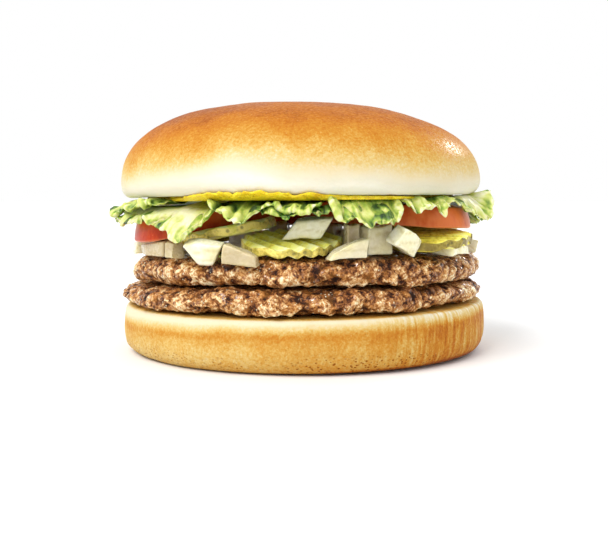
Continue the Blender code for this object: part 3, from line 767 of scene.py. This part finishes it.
for node in sorted(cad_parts):
    if not node.startswith("lettuce"):
        continue
    leaf = smooth_copy(node, 2 if "back" in node else 3)
    edge_tree = rim_tree(node)
    spots = points_of(leaf)
    far = np.array([edge_tree.find(p)[2] for p in spots.tolist()])
    frill = 1 - step(0.5 * MM, 9 * MM, far)
    seed = 0.21 * sum(map(ord, node))
    reach = np.hypot(spots[:, 0], spots[:, 1])
    out = step(COMES_OUT, 0.97 * BUN_RADIUS, reach)

    # Folds, veins and the painted crease shadows run outwards, so they change quickly along the rim
    # alone.
    around = np.arctan2(spots[:, 0], -spots[:, 1]) * BUN_RADIUS
    fan = np.c_[around, 0.25 * reach, 0.25 * spots[:, 2]]
    folds = lumps(fan, 4.2 * MM, seed) + 0.5 * lumps(fan, 2.1 * MM, seed + 6)
    veins = 1 - np.abs(lumps(fan + 0.4 * MM * folds[:, None], 2.6 * MM, seed + 11)) * 4
    # Thin dark lines painted as shadows between the frills.
    creases = 1 - np.abs(lumps(fan + 0.5 * MM * folds[:, None], 3.6 * MM, seed + 30)) * 7
    wave = lumps(spots, 5.5 * MM, seed) * 1.2 + lumps(spots, 2.6 * MM, seed + 4) * 0.8
    spots += normals_of(leaf) * (MM * out * (0.35 + 1.25 * frill) * folds)[:, None]
    serrated = lumps(spots, 1.3 * MM, seed + 21) * frill**3
    spots[:, 2] += MM * out * (frill * wave + 0.6 * serrated)
    raised, dropped = LEAF_SHIFTS.get(node, (0.0, 0.0))
    rise = step(0.8 * BUN_RADIUS, 0.92 * BUN_RADIUS, reach)
    spots[:, 2] += MM * raised * rise - MM * dropped * out * frill
    spots[:, 0] += MM * frill * out * lumps(spots, 4 * MM, seed + 9) * 0.9
    spots[:, 1] += MM * frill * out * lumps(spots, 4 * MM, seed + 15) * 0.9
    move_points(leaf, spots)
    mark(leaf, "frill", frill)
    # The very edge is painted lighter, as a painted highlight.
    mark(leaf, "edge", 1 - step(0.1 * MM, 0.9 * MM, far))
    mark(leaf, "vein", np.clip(veins, 0, 1) * (1 - 0.6 * frill))
    mark(leaf, "crease", np.clip(creases, 0, 1) * (0.3 + 0.7 * frill))
    # Painted shade where the leaf lies close under the crown, and in its hollows.
    inner = 1 - step(0.88 * BUN_RADIUS, 0.99 * BUN_RADIUS, reach)
    mark(leaf, "hollow", np.clip(0.12 + 1.7 * hollow_of(leaf, 30), -0.4, 1) + 0.7 * inner)
    mark(leaf, "green", np.full(len(spots), GREEN_LEAVES.get(node, 0.0)))
    serve(leaf, node, LETTUCE)


# Mustard. Yellow mustard spooned on the crown and pressed out by it: a thin bright layer with a
# bubbly bead that shows along the front.

MUSTARD_LIGHT = 1.08

# Bearings in degrees, 0 at the front and growing to the right, over which the bead sets in,
# becomes thin and ends.
BEAD_STARTS = (-60, -50)
BEAD_THINS = (0, 14)
BEAD_ENDS = (36, 46)


def mustard_finish():
    """Mustard: bright yellow with darker clouds, moist, with a bubbly skin."""
    sauce = Finish(
        "yellow_mustard", 0.34, Subsurface_Weight=0.35, Subsurface_Radius=(1.0, 0.8, 0.1),
        Subsurface_Scale=1.2 * MM, Coat_Weight=0.15, Coat_Roughness=0.15, Specular_IOR_Level=0.3,
    )
    cloud = sauce.grain(3 * MM, 3.0)
    bubbles = sauce.cells(0.9 * MM)
    colour = sauce.ramp(
        cloud, [(0.3, seen(226, 184, 10, MUSTARD_LIGHT)), (0.62, seen(252, 226, 40, MUSTARD_LIGHT))]
    )
    relief = sauce.grain(1.0 * MM, 3.0) - bubbles * 0.5
    return sauce.dress(colour, 0.3 + cloud * 0.15, relief=relief, depth=0.8 * MM)


mustard = smooth_copy("mustard", 3)
spots = points_of(mustard)
reach = np.hypot(spots[:, 0], spots[:, 1])
bearing = np.degrees(np.arctan2(spots[:, 0], -spots[:, 1]))
thin = step(*BEAD_THINS, bearing)
squeezed = step(*BEAD_STARTS, bearing) * (1 - 0.75 * thin) * (1 - step(*BEAD_ENDS, bearing))
rim = step(0.93 * BUN_RADIUS, 0.965 * BUN_RADIUS, reach)
bead = squeezed * rim
bubbly = 1.0 + 0.9 * lumps(spots, 5.5 * MM, 2.0) + 0.6 * lumps(spots, 1.8 * MM, 7.0)

# At the right it is thin and broken, and shows only here and there under the crown's edge.
shy = thin * (2.6 - 3.4 * step(0.15, 0.4, lumps(spots, 7 * MM, 33.0)))
push = 1.5 * bead * bubbly - rim * shy
spots[:, :2] += spots[:, :2] / np.maximum(reach, MM)[:, None] * (MM * push)[:, None]
under = step(0.75 * BUN_RADIUS, 0.85 * BUN_RADIUS, reach)
under *= step(0.2, -0.2, normals_of(mustard)[:, 2])
rise = 1.1 * bead * bubbly + rim * 0.25 * lumps(spots, 3 * MM, 12.0) + 0.25 * thin * under
spots[:, 2] += MM * rise
move_points(mustard, spots)
serve(mustard, "mustard", mustard_finish())


# Crown. The domed upper half of the bun: a thin golden-brown crust on top that fades down to a
# pale, nearly white skirt where the dough rose last, matt but for one glossy spot.

# How far the crown is baked, by height in mm with the rise of its pale skirt taken off.
DOME_BAKE = [(53, 0.0), (58, 0.02), (61, 0.1), (66.5, 0.33), (72, 0.56), (79.5, 0.84), (87, 0.95)]

# The glossy spot, at the right, and how wide it is.
GLAZE_SPOT = np.array((47, -38, 68)) * MM
GLAZE_REACH = 8 * MM

crown = smooth_copy("crown", 3)
spots = points_of(crown)
crown_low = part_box("crown")[0].z
dents = 0.35 * lumps(spots, 16 * MM, 21.0) + 0.1 * lumps(spots, 5 * MM, 25.0)

# The pale skirt rises in one soft lobe left of the middle and dips at both ends, in mm.
x = spots[:, 0]
lobe = 2.5 * np.exp(-(((x + 21 * MM) / (9.5 * MM)) ** 2)) * (spots[:, 1] < 0)
skirt = lobe - 2.6 * step(-34 * MM, -54 * MM, x) - 1.4 * step(10 * MM, 30 * MM, x) - 0.6
skirt += 1.6 * lumps(spots, 22 * MM, 14.0) + 0.6 * lumps(spots, 7 * MM, 18.0)
height = spots[:, 2] / MM - skirt
bake = np.interp(height, *zip(*DOME_BAKE))
# Browner high up at the left, and darker at the right as painted shade.
darker = 0.06 * step(20 * MM, 60 * MM, x) + 0.1 * step(-5 * MM, -35 * MM, x)
bake += darker * step(60, 70, height)
# At the left, the low skirt is held off the palest stop and its painted light.
mark(crown, "bake", np.maximum(bake, 0.06 * step(-5 * MM, -40 * MM, x)))
from_glaze = np.linalg.norm(spots - GLAZE_SPOT, axis=1)
mark(crown, "glaze", np.exp(-((from_glaze / GLAZE_REACH) ** 2)))

over_foot = step(crown_low, crown_low + 6 * MM, spots[:, 2])
spots += normals_of(crown) * (MM * dents * over_foot)[:, None]
move_points(crown, spots)
serve(crown, "crown", bread_finish("crown_crust", 0.4, 0.02, 1 * MM, 0.0))


# Table. A wide plain white surface under a bright white surround, lit from the upper left and
# front by one soft lamp, with two weaker ones for the glints, so that its only shadow is a faint
# one to the right.

TABLE_REACH = 4.0

table_finish = Finish("white_table", 0.7)
paper = table_finish.grain(3 * MM, 2.0)
white = table_finish.ramp(paper, [(0.0, seen(231, 232, 233, 1)), (1.0, seen(236, 236, 236, 1))])
ends = [(-TABLE_REACH, -TABLE_REACH, 0), (TABLE_REACH, -TABLE_REACH, 0)]
ends += [(TABLE_REACH, TABLE_REACH, 0), (-TABLE_REACH, TABLE_REACH, 0)]
surface = bpy.data.meshes.new("table")
surface.from_pydata(ends, [], [(0, 1, 2, 3)])
surface.materials.append(table_finish.dress(white))
table = bpy.data.objects.new("table", surface)
bpy.context.scene.collection.objects.link(table)

surround = bpy.data.worlds.new("surround")
surround.use_nodes = True
surround.node_tree.nodes["Background"].inputs["Color"].default_value = (1, 1, 1, 1)
surround.node_tree.nodes["Background"].inputs["Strength"].default_value = 1.0
bpy.context.scene.world = surround

# (name, strength, softness in degrees, tilt from overhead and turn about the vertical in degrees)
LAMPS = [
    ("window_lamp", 1.7, 34, 40, -52),
    ("glint_lamp", 0.7, 12, 52, -25),
    ("rim_lamp", 0.6, 14, 66, 140),
]
for name, strength, softness, tilt, turn in LAMPS:
    lamp = bpy.data.objects.new(name, bpy.data.lights.new(name, "SUN"))
    lamp.data.energy = strength
    lamp.data.angle = math.radians(softness)
    lamp.rotation_euler = (math.radians(tilt), 0, math.radians(turn))
    bpy.context.scene.collection.objects.link(lamp)
bpy.context.scene.view_settings.view_transform = "Standard"


# Camera. It stands level with the top of the filling and tips down a little, so that the burger
# is seen from straight in front.

PHOTO_WIDTH = 608
FOCAL_PIXELS = 973
HORIZON_DROP_PIXELS = 80
CAMERA_DISTANCE = 349 * MM
CAMERA_HEIGHT = 55.8 * MM
SENSOR_WIDTH = 36

camera = bpy.data.objects.new("camera", bpy.data.cameras.new("camera"))
camera.data.sensor_width = SENSOR_WIDTH
camera.data.lens = SENSOR_WIDTH * FOCAL_PIXELS / PHOTO_WIDTH
camera.data.clip_start = 10 * MM
camera.location = (0, -CAMERA_DISTANCE, CAMERA_HEIGHT)
camera.rotation_euler = (math.pi / 2 - math.atan(HORIZON_DROP_PIXELS / FOCAL_PIXELS), 0, 0)
bpy.context.scene.collection.objects.link(camera)
bpy.context.scene.camera = camera
